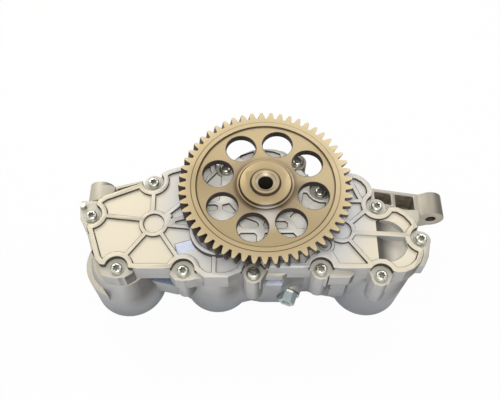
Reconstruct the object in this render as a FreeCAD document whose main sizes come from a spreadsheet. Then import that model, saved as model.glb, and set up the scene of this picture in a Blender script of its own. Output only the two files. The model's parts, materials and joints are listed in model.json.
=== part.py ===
"""Engine oil pump: a gear pump in a ribbed two-piece casting, driven by a helical gear.

Millimetres. The drive shaft's axis is the Z axis, and Z = 0 is the plane that the lobes of the housing
stand on. +X runs along the long side, and +Y points to the engine, whose face the two bosses bolt to.
"""
import FreeCAD, Part
import math
import os
from FreeCAD import Vector

doc = FreeCAD.newDocument("engine_oil_pump")
sheet = doc.addObject("Spreadsheet::Sheet", "sizes")

SIZES = [
    # housing and cover
    ("housing_height", 75),
    ("flange_thickness", 11),
    ("ear_thickness", 8),
    ("rim_rise", 5.5),
    ("rim_width", 5.5),
    ("rib_width", 4.6),
    ("pocket_depth", 2.5),
    ("narrowest_pocket", 3.6),
    ("smallest_pocket", 45),
    ("outline_corner", 3),
    ("scallop_corner", 1.8),
    ("ear_radius", 9.5),
    ("scallop_radius", 10.8),
    ("column_height", 35),
    ("chamber_wall", 8),
    ("chamber_bottom", 30),
    ("shaft_floor", 8),
    # the left pad, the right pad and the small plugged boss of the cover
    ("left_pad_x", -109.5),
    ("left_pad_y", -33),
    ("left_pad_radius", 14.6),
    ("left_pad_recess_radius", 10),
    ("right_pad_x", 74),
    ("right_pad_y", -40.5),
    ("right_pad_radius", 14),
    ("right_pad_recess_radius", 9.5),
    ("small_boss_x", 57),
    ("small_boss_y", -56),
    ("small_boss_radius", 9.5),
    ("small_boss_recess_radius", 6.2),
    ("small_boss_centre_radius", 3.1),
    ("middle_pad_radius", 62),
    # round-bottomed hollows in the floors of the cover's pockets
    ("dish_x", 115.5),
    ("dish_y", -50.5),
    ("dish_radius", 21.8),
    ("dish_lowest_x", 127),
    ("dish_half_width", 18.5),
    ("dish_depth", 8),
    ("trough_x", -86),
    ("trough_y", -60.5),
    ("trough_angle", 17),
    ("trough_length", 20),
    ("trough_half_width", 6),
    ("trough_depth", 1.5),
    # lobes
    ("left_lobe_x", -142),
    ("left_lobe_y", -61),
    ("left_lobe_radius", 37),
    ("left_lobe_height", 55),
    ("left_lobe_step", 42),
    ("left_lobe_top_radius", 28.5),
    ("middle_lobe_x", -49),
    ("middle_lobe_y", -58.5),
    ("middle_lobe_radius", 35),
    ("middle_lobe_top_radius", 31.5),
    ("right_lobe_x", 107),
    ("right_lobe_y", -60),
    ("right_lobe_radius", 37),
    ("right_lobe_top_x", 122),
    ("right_lobe_top_y", -57),
    ("right_lobe_top_radius", 28.5),
    # screws
    ("screw_shank_radius", 3),
    ("screw_length", 26),
    ("screw_flange_radius", 6.9),
    ("screw_head_radius", 5.6),
    ("screw_head_height", 4.2),
    ("screw_socket_radius", 2.9),
    ("screw_socket_depth", 2.6),
    ("socket_waist", 0.72),
    ("screw_hole_radius", 3.3),
    ("sleeve_radius", 5),
    ("sleeve_length", 10),
    ("sleeve_wall", 1.2),
    # shafts, bushes and pump gears
    ("idler_x", -46),
    ("idler_y", -41),
    ("idler_boss_radius", 23.5),
    ("idler_boss_rise", 3.5),
    ("pump_teeth", 12),
    ("pump_pressure_angle", 25),
    ("pump_backlash", 0.35),
    ("tip_gap", 0.3),
    ("side_gap", 0.08),
    ("drive_shaft_radius", 15),
    ("drive_shaft_bore", 7.4),
    ("drive_shaft_stand_out", 4),
    ("shaft_chamfer", 1.25),
    ("idler_shaft_radius", 11),
    ("shaft_gap", 0.04),
    ("seat_gap", 0.02),
    ("bush_wall", 2.5),
    ("end_gap", 0.5),
    ("idler_cap", 3.5),
    ("key_width", 6),
    ("key_depth", 3),
    ("washer_radius", 21),
    ("washer_thickness", 2),
    # drive gear
    ("gear_stand_off", 20.5),
    ("gear_teeth", 53),
    ("gear_module", 3),
    ("gear_helix_angle", 15.25),
    ("gear_pressure_angle", 20),
    ("gear_face", 10.5),
    ("gear_backlash", 0.5),
    ("gear_rim_step_radius", 68),
    ("gear_web_recess", 2),
    ("gear_web_thickness", 7),
    ("gear_holes", 8),
    ("gear_hole_radius", 15.1),
    ("gear_hole_circle", 48.4),
    ("gear_hole_angle", 30),
    ("gear_hub_radius", 25),
    ("gear_hub_foot", 28),
    ("gear_hub_rise", 2),
    ("gear_hub_taper", 3),
    ("gear_tooth_angle", 3.9),
    # mounting bosses on the engine's face
    ("mount_face_y", 17.5),
    ("mount_hole_radius", 5.25),
    ("left_boss_x", -168),
    ("left_boss_drop", 4),
    ("left_boss_radius", 12.5),
    ("left_boss_length", 21.5),
    ("right_boss_x", 175),
    ("right_boss_height", 48),
    ("right_boss_radius", 13.5),
    ("right_boss_length", 25.3),
    # ports, relief valve and plugs
    ("suction_port_radius", 20),
    ("suction_chamber_radius", 29),
    ("suction_floor", 12),
    ("suction_roof", 6),
    ("riser_x", -137),
    ("riser_y", -43),
    ("riser_radius", 18),
    ("outlet_chamber_x", 112),
    ("outlet_chamber_y", -54),
    ("outlet_chamber_radius", 24),
    ("outlet_floor", 14),
    ("suction_channel_width", 20),
    ("outlet_channel_width", 14),
    ("channel_depth", 17),
    ("cover_gap", 0.5),
    ("spill_radius", 4),
    ("spill_height", 40),
    ("outlet_port_radius", 11),
    ("outlet_port_x", 118),
    ("outlet_port_height", 36),
    ("outlet_flange_radius", 19),
    ("port_seal_section", 1.5),
    ("relief_x", 62),
    ("relief_y", -46),
    ("relief_radius", 9),
    ("relief_gap", 0.05),
    ("relief_drop", 20),
    ("relief_piston_length", 24),
    ("relief_plug_length", 10),
    ("relief_wall", 6),
    ("spring_wire", 1.1),
    ("spring_turns", 5),
    ("spring_steps", 12),
    ("spring_side_gap", 0.4),
    ("plug_x", 26),
    ("plug_y", -78),
    ("plug_height", 19),
    ("plug_angle", -20),
    ("plug_radius", 7),
    ("plug_head_radius", 8.6),
    ("plug_head_length", 11),
    ("plug_thread_length", 12),
    ("plug_washer_thickness", 1.5),
    ("pin_x", -181.5),
    ("pin_y", -12.5),
    ("pin_radius", 2.6),
    ("pin_length", 21),
    ("pin_depth", 8),
    # webs, ledge and scoop of the casting
    ("wall_foot", 2),
    ("web_foot", 50),
    ("web_height", 24),
    ("web_slot_floor", 56),
    ("right_web_foot", 36),
    ("right_web_height", 26),
    ("arm_pocket_floor", 34),
    ("arm_pocket_corner", 2),
    ("ledge_foot", 20),
    ("ledge_height", 30),
    ("ledge_top", 50),
    ("shelf_foot", 26),
    ("scoop_x", 8.5),
    ("scoop_y", -84.5),
    ("scoop_radius", 9),
    ("scoop_height", 14),
    ("groove_wall", 2.5),
    ("plug_boss_radius", 10.5),
    ("plug_boss_length", 18),
    ("plug_spot_radius", 11.5),
    ("plug_spot_depth", 16),
    ("relief_seat_radius", 6.5),
    ("relief_seat_height", 5),
    ("relief_cavity_radius", 6.8),
    ("relief_cavity_depth", 15),
    ("relief_plug_foot", 3.5),
    ("relief_plug_socket_radius", 4.5),
    ("snap_ring_foot", 1.8),
    ("snap_ring_thickness", 1.4),
    ("snap_ring_depth", 1.5),
    ("spill_length", 40),
    ("bush_length", 20),
    ("shaft_bore_flare", 4),
    ("shaft_bore_flare_depth", 2.8),
]

SCREWS = [
    (-172.5, -23), (-113.5, 15), (-142, -79.5), (-78.8, -82), (-12, -84.5), (52.5, -80.5),
    (109, -87), (151.5, -48.5), (111.5, -12.5), (56, 4.5), (34, 41), (-40, 32),
]

for number, (screw_x, screw_y) in enumerate(SCREWS, 1):
    SIZES.append((f"screw_{number}_x", screw_x))
    SIZES.append((f"screw_{number}_y", screw_y))

for row, (alias, value) in enumerate(SIZES, 1):
    sheet.set(f"A{row}", alias)
    sheet.set(f"B{row}", str(value))
    sheet.setAlias(f"B{row}", alias)
doc.recompute()


def size(alias):
    return float(sheet.get(alias))


# Edge of the cover's raised rim, clockwise from the left boss, without the scallops round the screws.
RIM = [
    (-167, -7), (-161, -2), (-125, 13), (-112, 19), (-104, 25), (-97, 29), (-88, 32), (-52, 38),
    (-34, 36), (-31, 41), (-22, 48), (-12, 52.5), (0, 54), (10, 53.5), (19, 51), (26, 46), (33, 44),
    (38, 30), (46, 20), (56, 15), (66, 17), (75, 23), (86, 25), (95, 22.5), (101, 18.5),
    (106, 12), (108, 5), (107, -4), (115, -14), (126, -15), (132, -15.5), (140, -21), (146, -29),
    (149.5, -37), (151, -50), (151, -66), (147, -75), (140, -81), (132, -84.5), (124, -85),
    (109, -82), (92, -81), (0, -80), (-12, -82), (-25, -85), (-36, -90), (-58, -90), (-66, -84),
    (-79, -81), (-126, -81), (-142, -79), (-158, -77), (-163, -70), (-172, -45), (-175, -37),
]
# Flat tabs of the joint face that reach past the rim, at the height of the ears.
TABS = [
    [(-186, -9), (-184, -5), (-165, -5), (-163, -30), (-168, -62), (-174, -44), (-183.5, -26)],
    [(-164, -66), (-156, -86), (-149, -88), (-134, -88), (-126, -83), (-126, -78)],
    [(60, -76), (84, -76), (84, -85), (80, -88), (60, -88)],
    [(148, -46), (160.5, -50), (157, -66), (152, -76), (146, -76)],
    [(-90, -78), (-62, -80), (-60, -89), (-67, -89.5), (-72, -91), (-86, -91), (-92, -84)],
    [(-22, -80), (-19, -92), (-5, -92), (2, -80)],
    [(42, -78), (46, -88), (58, -90), (62, -78)],
    [(97, -80), (102, -95), (116, -95), (122, -82)],
]
# Ribs of the cover: centre line from point to point.
RIBS = [
    ((-111.5, -30), (-112, 12)),
    ((-105, -30), (-72, 0)),
    ((-109, -30), (-163, -24)),
    ((-109, -33), (-140, -75)),
    ((-109, -33), (-80, -76)),
    ((-105, -34), (-48, -40)),
    ((-100, -32), (-57, -20.5)),
    ((-84, -10), (-62, 12)),
    ((-100, -30), (-94, -25)),
    ((-49.5, -62), (-49.5, -88)),
    ((60, -2), (74, -38)),
    ((52, -31), (72, -41)),
    ((15.5, -59), (20, -79)),
    ((-28, -41), (66, -41)),
    ((57, -56), (52, -76)),
    ((57, -56), (40, -41)),
    ((74, -41), (108, -11)),
    ((84, -42.5), (148, -47)),
    ((76, -44), (104, -82)),
    ((60, -60), (70, -80)),
    ((96, -8), (84, 22)),
    ((76, -34), (82, -8)),
    ((80, -8), (104, -8)),
]
# Pockets in the flat middle of the cover, which show through the holes of the big gear.
MIDDLE_POCKETS = [
    [(-25.5, -31), (-20, -27), (-9, -31.5), (-7, -34), (-7.5, -37), (-10, -38.5), (-22, -38.5),
     (-25.5, -35)],
    [(-24, -44), (-11, -44), (-9, -46), (-9, -58), (-18, -58), (-28, -50)],
    [(-0.5, -31), (19, -31), (21.5, -33), (21.5, -36.5), (19.5, -38.5), (-0.5, -38.5), (-2.3, -35)],
    [(-0.5, -44), (27, -44), (29.5, -47), (28, -54), (-5, -56)],
    [(28.5, -21), (24.3, -26.5), (31, -38.5), (44, -38.5), (48, -30), (42, -18)],
    [(-42.5, -13), (-36, -11), (-29.5, -19.5), (-32, -22.5), (-42, -18)],
    [(-47.5, -14), (-47.5, -17), (-50, -18.5), (-58, -19.5), (-59.5, -13), (-50, -12.5)],
    [(-45.5, -2), (-46, -7), (-56, -10.5), (-60, -10), (-60, 2), (-46, 6)],
    [(-49, 25), (-46.5, 25), (-44, 22), (-44.5, 10), (-60, 10.5), (-58.5, 13.5)],
    [(38.5, 1), (41.5, 1), (44, -3), (48, -7), (54, -9.8), (60.5, -10.3), (58, -18), (46, -18), (36.5, -10)],
    [(31, 28), (33.5, 31), (37, 32), (40.5, 30), (43.5, 23), (42, 14), (33, 14)],
    [(-25, 42), (-24, 46), (-12, 50.5), (-9, 44), (-16, 38)],
    [(1, 51.5), (9, 50.5), (16, 47.5), (16, 44), (6, 40), (0, 42)],
]
# Plan of the housing's walls under the flange, which pulls in between the lobes.
WALLS = [
    (-165, -20), (-160, -4), (-125, 11), (-104, 20), (-88, 29), (-52, 36), (-30, 38), (-16, 50),
    (8, 50), (24, 44), (42, 20), (66, 14), (86, 20), (100, 14), (106, 2), (118, -14), (138, -22),
    (147, -36), (147, -66), (128, -79), (92, -80), (78, -79.5), (70, -77), (62, -75.5), (54, -75),
    (46, -71), (40, -71), (28, -76), (16, -83), (-4, -83), (-14, -81), (-26, -84), (-40, -88),
    (-62, -88), (-80, -78), (-92, -67), (-130, -67),
    (-134, -80), (-150, -80), (-158, -72), (-168, -45),
]

# Profile of the right arm, seen from the front: x and height.
ARM = [(96, 20), (96, 69), (114, 69), (162, 56.5), (175, 61), (175, 35), (150, 24), (130, 20)]
# Plans of the two webs that carry the bosses, and of what is hollowed out of the right arm.
LEFT_WEB = [(-168, -4), (-161, -2), (-125, 12), (-127, 24), (-154, 17), (-158, 17.5), (-168, 17.5)]
WEB_SLOT = [(-152, 11), (-130, 17.7), (-131, 20.6), (-152, 14.2)]
LEFT_BOSS_PAD = [(-168, -2.5), (-160, 1), (-153, 5), (-152, 11), (-158, 13), (-168, 13)]
RIGHT_WEB = [(104, -4), (160, -4), (159, -16), (149, -36), (118, -22)]
ARM_POCKETS = [
    [(114, 2), (132, 0), (132, 13.5), (114, 13.5)],
    [(136.5, -2), (157, -4), (157, 13.5), (136.5, 13.5)],
]
FRONT_LEDGE = [(62, -70), (84, -70), (83, -81), (80, -83), (65, -83)]
# The left lobe's ledge is what this plan covers of it, and a shelf closes the corner beside it.
LEFT_LEDGE = [(-185, -110), (-153, -97), (-162, -84.5), (-164, -70), (-150, -50), (-150, -20), (-185, -20)]
SHELF = [(-124, -66), (-84, -66), (-84, -83.5), (-90, -83.5), (-120, -76.5), (-124, -72)]
SLEEVED = (1, 8)
SUCTION_PATH = [(-137, -43), (-104, -22), (-62, 6), (-38, 0)]
BESIDE_PAD = [(-53, 26.5), (-53, 40), (-75, 40), (-75, 3.5)]
ABOVE_IDLER = [(-90, -37), (0, -37), (0, 0), (-90, 0)]
OUTLET_PATH = [(-6, -38), (10, -46), (62, -46), (112, -54)]


def polygon(points):
    "A flat face that looks up, whichever way its points run."
    turn = sum(a[0] * b[1] - b[0] * a[1] for a, b in zip(points, points[1:] + points[:1]))
    ends = [Vector(x, y, 0) for x, y in (points if turn > 0 else points[::-1])]
    return Part.Face(Part.makePolygon(ends + ends[:1]))


def disc(x, y, radius):
    return Part.Face(Part.Wire(Part.makeCircle(radius, Vector(x, y, 0))))


def strip(start, end, width):
    a, b = Vector(*start, 0), Vector(*end, 0)
    side = (b - a).normalize().cross(Vector(0, 0, 1)) * (width / 2)
    return Part.Face(Part.makePolygon([a + side, b + side, b - side, a - side, a + side]))


def bar(start, end, width):
    "A straight bar with round ends, seen from above."
    return merged([strip(start, end, width), disc(*start, width / 2), disc(*end, width / 2)])


def merged(faces):
    return faces[0].fuse(faces[1:]).removeSplitter()


def outer(shape):
    "The largest face of a flat shape, with its holes closed."
    return Part.Face(max(shape.Faces, key=lambda face: face.Area).OuterWire)


def rounded(face, radius):
    "Rounds the corners of a flat face, the outer ones and then the inner ones."
    face = face.makeOffset2D(-radius).makeOffset2D(radius)
    return face.makeOffset2D(radius).makeOffset2D(-radius)


def draw(sketch, shape):
    "Draws the edges of a flat shape in a sketch."
    for edge in shape.Edges:
        curve = edge.Curve
        if isinstance(curve, Part.Line):
            sketch.addGeometry(Part.LineSegment(edge.Vertexes[0].Point, edge.Vertexes[-1].Point))
        elif edge.isClosed():
            sketch.addGeometry(Part.Circle(curve.Center, Vector(0, 0, 1), curve.Radius))
        else:
            sketch.addGeometry(Part.ArcOfCircle(curve, edge.FirstParameter, edge.LastParameter))


def place(thing, **expressions):
    "Binds a position, given as x, y and z in terms of the sheet."
    for axis, words in expressions.items():
        thing.setExpression(f"Placement.Base.{axis}", words)
    return thing


def prism(name, shape, z, height):
    "A flat shape drawn as a sketch at height z and extruded upwards."
    sketch = doc.addObject("Sketcher::SketchObject", name + "_sketch")
    draw(sketch, shape)
    place(sketch, z=z)
    block = doc.addObject("Part::Extrusion", name)
    block.Base = sketch
    block.DirMode = "Normal"
    block.Solid = True
    block.setExpression("LengthFwd", height)
    return block


def at(spot):
    "The two cells that hold the place of a boss, lobe or shaft."
    return f"sizes.{spot}_x", f"sizes.{spot}_y"


def cylinder(name, radius, height, x="0", y="0", z="0", along="z"):
    "A cylinder bound to the sheet; along y it runs from its place towards +Y."
    rod = doc.addObject("Part::Cylinder", name)
    rod.setExpression("Radius", radius)
    rod.setExpression("Height", height)
    if along == "y":
        rod.Placement.Rotation = FreeCAD.Rotation(Vector(1, 0, 0), -90)
    return place(rod, x=x, y=y, z=z)


def cone(name, foot_radius, head_radius, height, x, y, z="0"):
    "A cone that narrows upwards."
    rod = doc.addObject("Part::Cone", name)
    rod.setExpression("Radius1", foot_radius)
    rod.setExpression("Radius2", head_radius)
    rod.setExpression("Height", height)
    return place(rod, x=x, y=y, z=z)


def ring(name, outside, inside, height, x="0", y="0", z="0"):
    rod = cylinder(name + "_outside", outside, height, x, y, z)
    bore = cylinder(name + "_inside", inside, height, x, y, z)
    return cut(name, rod, [bore])


def fuse(name, shapes, kind="Part::MultiFuse"):
    joined = doc.addObject(kind, name)
    joined.Shapes = shapes
    joined.Refine = True
    return joined


def cut(name, base, tools):
    tool = tools[0]
    if len(tools) > 1:
        tool = fuse(name + "_cutters", tools)
    rest = doc.addObject("Part::Cut", name)
    rest.Base = base
    rest.Tool = tool
    rest.Refine = True
    return rest


def compound(name, shapes):
    group = doc.addObject("Part::Feature", name)
    group.Shape = Part.makeCompound(shapes)
    return group


# Heights that several pieces share
joint_plane = "sizes.housing_height"
cover_height = "sizes.ear_thickness + sizes.rim_rise"
rib_top = "sizes.housing_height + sizes.ear_thickness + sizes.rim_rise"
under_flange = "sizes.housing_height - sizes.flange_thickness"
relief_top = "sizes.housing_height - sizes.relief_drop"
gear_foot = rib_top + " + sizes.gear_stand_off - sizes.gear_face"
idler_bore_depth = cover_height + " - sizes.pocket_depth - sizes.idler_cap"
gear_width = "sizes.housing_height - sizes.chamber_bottom - 2 * sizes.side_gap"
cover_top = size("housing_height") + size("ear_thickness") + size("rim_rise")
screw_places = [(size(f"screw_{i}_x"), size(f"screw_{i}_y")) for i in range(1, len(SCREWS) + 1)]
sleeve_places = [screw_places[number - 1] for number in SLEEVED]
idler = (size("idler_x"), size("idler_y"))
centre_distance = math.hypot(*idler)
pump_module = centre_distance / size("pump_teeth")
chamber_radius = centre_distance / 2 + pump_module + size("tip_gap")

# Plans of the joint face and of the raised rim
ears = [disc(x, y, size("ear_radius")) for x, y in screw_places]
scallops = [disc(x, y, size("scallop_radius")) for x, y in screw_places]
rim_face = rounded(polygon(RIM), size("outline_corner"))
joint_face = outer(merged([rim_face] + ears + [polygon(tab) for tab in TABS]))
top_face = rounded(outer(rim_face.cut(scallops)), size("scallop_corner"))
middle_pad = disc(0, 0, size("middle_pad_radius")).cut(polygon(BESIDE_PAD))
idler_rim = disc(*idler, size("idler_boss_radius") + size("rib_width"))
idler_rim = idler_rim.cut([disc(*idler, size("idler_boss_radius")), middle_pad, polygon(ABOVE_IDLER)])


def spot_disc(spot, radius):
    "A disc at a spot of the sheet, with its radius from the sheet too."
    return disc(size(spot + "_x"), size(spot + "_y"), size(radius))


def pocket_faces():
    "The floor of the cover between its ribs, as one face for each pocket."
    solid = [bar(start, end, size("rib_width")) for start, end in RIBS]
    solid += [spot_disc(spot, spot + "_radius") for spot in ("left_pad", "right_pad", "small_boss")]
    solid += [middle_pad, idler_rim]
    floor = top_face.makeOffset2D(-size("rim_width")).cut(solid)
    half = size("narrowest_pocket") / 2
    wide_enough = [face for face in floor.Faces if face.Area > size("smallest_pocket")]
    cores = [core for face in wide_enough for core in face.makeOffset2D(-half).Faces]
    grown = [core.makeOffset2D(2 * half) for core in cores if core.Area > half**2]
    outer_pockets = floor.common(grown).removeSplitter().Faces
    return outer_pockets + [polygon(points) for points in MIDDLE_POCKETS]


def passage(path, width):
    "A path of straight strips with round corners, as one flat face."
    strips = [strip(start, end, width) for start, end in zip(path, path[1:])]
    return outer(merged(strips + [disc(x, y, width / 2) for x, y in path]))


def circles(places, radius):
    return Part.makeCompound([disc(x, y, radius) for x, y in places])


def body_sketch(body, name, shape, height="0"):
    "A sketch on the body's own XY plane, lifted to a height."
    sketch = body.newObject("Sketcher::SketchObject", name)
    plane = next(item for item in body.Origin.OriginFeatures if item.Role == "XY_Plane")
    sketch.AttachmentSupport = (plane, [""])
    sketch.MapMode = "FlatFace"
    sketch.setExpression("AttachmentOffset.Base.z", height)
    draw(sketch, shape)
    return sketch


def pad(body, name, shape, length, height="0"):
    feature = body.newObject("PartDesign::Pad", name)
    feature.Profile = body_sketch(body, name + "_sketch", shape, height)
    feature.setExpression("Length", length)


def pocket(body, name, shape, depth, height="0", upwards=False):
    "Cuts down from a height, or upwards from it."
    feature = body.newObject("PartDesign::Pocket", name)
    feature.Profile = body_sketch(body, name + "_sketch", shape, height)
    feature.setExpression("Length", depth)
    feature.Reversed = upwards


def half_section(body, name, points, groove=False):
    "Turns a closed outline of radius and height points about the body's own Z axis."
    sketch = body.newObject("Sketcher::SketchObject", name + "_sketch")
    plane = next(item for item in body.Origin.OriginFeatures if item.Role == "XZ_Plane")
    sketch.AttachmentSupport = (plane, [""])
    sketch.MapMode = "FlatFace"
    ends = [Vector(radius, height, 0) for radius, height in points]
    for a, b in zip(ends, ends[1:] + ends[:1]):
        sketch.addGeometry(Part.LineSegment(a, b))
    turned = body.newObject("PartDesign::Groove" if groove else "PartDesign::Revolution", name)
    turned.Profile = sketch
    turned.ReferenceAxis = (sketch, ["V_Axis"])
    turned.Angle = 360
    return turned


def new_body(name, **expressions):
    return place(doc.addObject("PartDesign::Body", name), **expressions)


def cover_body():
    "The cover's plate, rim and ribs with their recesses and bores, from the joint plane up."
    body = new_body("cover_body", z=joint_plane)
    pad(body, "cover_plate", joint_face, "sizes.ear_thickness")
    pad(body, "cover_rim", top_face, cover_height)
    pad(body, "idler_boss_rim", idler_rim, cover_height + " + sizes.idler_boss_rise")
    small_ring = spot_disc("small_boss", "small_boss_recess_radius")
    small_ring = small_ring.cut(spot_disc("small_boss", "small_boss_centre_radius"))
    pads = [spot_disc(pad_name, pad_name + "_recess_radius") for pad_name in ("left_pad", "right_pad")]
    recesses = Part.makeCompound(pocket_faces() + pads + [small_ring])
    pocket(body, "cover_pockets", recesses, "sizes.pocket_depth", cover_height)
    drive_bore = disc(0, 0, size("drive_shaft_radius") + size("bush_wall"))
    pocket(body, "drive_bush_bore", drive_bore, cover_height, cover_height)
    idler_bore = disc(*idler, size("idler_shaft_radius") + size("bush_wall"))
    pocket(body, "idler_bush_bore", idler_bore, idler_bore_depth, upwards=True)
    pocket(body, "screw_holes", circles(screw_places, size("screw_hole_radius")), cover_height, cover_height)
    pin_hole = disc(size("pin_x"), size("pin_y"), size("pin_radius") + size("seat_gap"))
    pocket(body, "pin_hole", pin_hole, cover_height, cover_height)
    sleeves = circles(sleeve_places, size("sleeve_radius"))
    pocket(body, "sleeve_seats", sleeves, "sizes.sleeve_length / 2 + sizes.seat_gap", upwards=True)
    return body


def hollow(name, region, half_width, depth, start, length, angle):
    "A round-bottomed hollow in the pocket floors under a region, lying along an angle."
    radius = f"(sizes.{half_width}^2 + sizes.{depth}^2) / (2 * sizes.{depth})"
    lowest = rib_top + f" - sizes.pocket_depth - sizes.{depth}"
    rod = cylinder(name + "_rod", radius, length, *start, f"{lowest} + {radius}")
    across = FreeCAD.Rotation(Vector(0, 0, 1), angle - 90)
    rod.Placement.Rotation = across * FreeCAD.Rotation(Vector(1, 0, 0), -90)
    floors = [face for pocket_face in pocket_faces() for face in pocket_face.common(region).Faces]
    block = prism(name + "_block", Part.makeCompound(floors), lowest, rib_top + f" - ({lowest})")
    return fuse(name, [rod, block], "Part::MultiCommon")


def front_cover():
    "The ribbed cover, with a deep dish over the outlet chamber and a shallow trough beside the idler."
    dish_x, dish_y, reach = size("dish_x"), size("dish_y"), size("dish_radius")
    edge = size("dish_lowest_x") - size("dish_half_width")
    ends = [(edge, dish_y - reach), (edge + 2 * reach, dish_y - reach)]
    right_of_edge = polygon(ends + [(x, dish_y + reach) for x, _ in ends[::-1]])
    dish = disc(dish_x, dish_y, reach).common(right_of_edge)
    dish_start = ("sizes.dish_lowest_x", "sizes.dish_y - sizes.dish_radius")
    turn = math.radians(size("trough_angle"))
    far_x = size("trough_x") + size("trough_length") * math.cos(turn)
    far_y = size("trough_y") + size("trough_length") * math.sin(turn)
    trough = strip((size("trough_x"), size("trough_y")), (far_x, far_y), 2 * size("trough_half_width"))
    return cut("front_cover", cover_body(), [
        hollow("dish", dish, "dish_half_width", "dish_depth", dish_start, "2 * sizes.dish_radius", 90),
        hollow("trough", trough, "trough_half_width", "trough_depth", at("trough"), "sizes.trough_length",
               size("trough_angle")),
    ])


def towards_plug(thing, inwards=False):
    "Lays a piece's Z axis along the gallery plug's, pointing out of the wall or into it."
    turn = FreeCAD.Rotation(Vector(0, 0, 1), size("plug_angle"))
    thing.Placement.Rotation = turn * FreeCAD.Rotation(Vector(1, 0, 0), -90 if inwards else 90)
    return place(thing, x="sizes.plug_x", y="sizes.plug_y", z="sizes.plug_height")


def right_lobe():
    "The right lobe widens and leans out towards the flange."
    sections = []
    for name, x, y, radius, z in (
        ("foot", "right_lobe_x", "right_lobe_y", "right_lobe_radius", "0"),
        ("head", "right_lobe_top_x", "right_lobe_top_y", "right_lobe_top_radius", under_flange),
    ):
        sketch = doc.addObject("Sketcher::SketchObject", "right_lobe_" + name)
        draw(sketch, disc(0, 0, size(radius)))
        sections.append(place(sketch, x="sizes." + x, y="sizes." + y, z=z))
    loft = doc.addObject("Part::Loft", "right_lobe")
    loft.Sections = sections
    loft.Solid = True
    loft.Ruled = True
    return loft


def arm():
    "The right arm, a profile pushed back from the engine's face."
    sketch = doc.addObject("Sketcher::SketchObject", "arm_sketch")
    draw(sketch, polygon(ARM))
    sketch.Placement.Rotation = FreeCAD.Rotation(Vector(1, 0, 0), 90)
    place(sketch, y="sizes.mount_face_y")
    block = doc.addObject("Part::Extrusion", "arm")
    block.Base = sketch
    block.DirMode = "Normal"
    block.Solid = True
    block.setExpression("LengthFwd", "sizes.right_boss_length")
    return block


def boss(name, radius, length, x, height):
    "A round boss or bore that runs back from the engine's face."
    return cylinder(name, radius, length, x, f"sizes.mount_face_y - ({length})", height, "y")


def housing_blocks():
    "What is added up to make the casting, before it is hollowed out."
    chamber_wall = f"{chamber_radius} + sizes.chamber_wall"
    relief_wall = "sizes.relief_radius + sizes.relief_wall"
    to_outlet = "sizes.mount_face_y - sizes.outlet_chamber_y"
    walls = rounded(polygon(WALLS), size("outline_corner"))
    blocks = [
        prism("flange", joint_face, under_flange, "sizes.flange_thickness"),
        prism("walls", walls, "sizes.wall_foot", "sizes.housing_height - sizes.wall_foot"),
        cylinder("left_lobe", "sizes.left_lobe_radius", "sizes.left_lobe_step", *at("left_lobe")),
        cone("left_lobe_head", "sizes.left_lobe_radius", "sizes.left_lobe_top_radius",
             under_flange + " - sizes.left_lobe_step", *at("left_lobe"), "sizes.left_lobe_step"),
        prism("left_ledge", spot_disc("left_lobe", "left_lobe_radius").common(polygon(LEFT_LEDGE)),
              "sizes.left_lobe_step", "sizes.left_lobe_height - sizes.left_lobe_step"),
        prism("left_shelf", polygon(SHELF), "sizes.shelf_foot", "sizes.ledge_top - sizes.shelf_foot"),
        cone("middle_lobe", "sizes.middle_lobe_radius", "sizes.middle_lobe_top_radius", under_flange,
             *at("middle_lobe")),
        right_lobe(),
        cylinder("drive_chamber_wall", chamber_wall, under_flange),
        cylinder("idler_chamber_wall", chamber_wall, under_flange, *at("idler")),
        cylinder("relief_boss", relief_wall, under_flange, *at("relief")),
        boss("left_boss", "sizes.left_boss_radius", "sizes.left_boss_length", "sizes.left_boss_x",
             "sizes.housing_height - sizes.left_boss_drop"),
        boss("right_boss", "sizes.right_boss_radius", "sizes.right_boss_length", "sizes.right_boss_x",
             "sizes.right_boss_height"),
        boss("outlet_flange", "sizes.outlet_flange_radius", to_outlet, "sizes.outlet_port_x",
             "sizes.outlet_port_height"),
        arm(),
        prism("left_web", polygon(LEFT_WEB), "sizes.web_foot", "sizes.web_height"),
        prism("left_boss_pad", polygon(LEFT_BOSS_PAD), "sizes.web_foot",
              "sizes.housing_height - sizes.left_boss_drop + sizes.left_boss_radius - sizes.web_foot"),
        prism("right_web", polygon(RIGHT_WEB), "sizes.right_web_foot", "sizes.right_web_height"),
        towards_plug(cylinder("plug_boss", "sizes.plug_boss_radius", "sizes.plug_boss_length"), True),
        prism("front_ledge", polygon(FRONT_LEDGE), "sizes.ledge_foot", "sizes.ledge_height"),
    ]
    column_foot = "sizes.housing_height - sizes.column_height"
    column_length = "sizes.column_height - sizes.flange_thickness"
    for number, (x, y) in enumerate(screw_places, 1):
        blocks.append(prism(f"column_{number}", disc(x, y, size("ear_radius")), column_foot, column_length))
    return blocks


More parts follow.
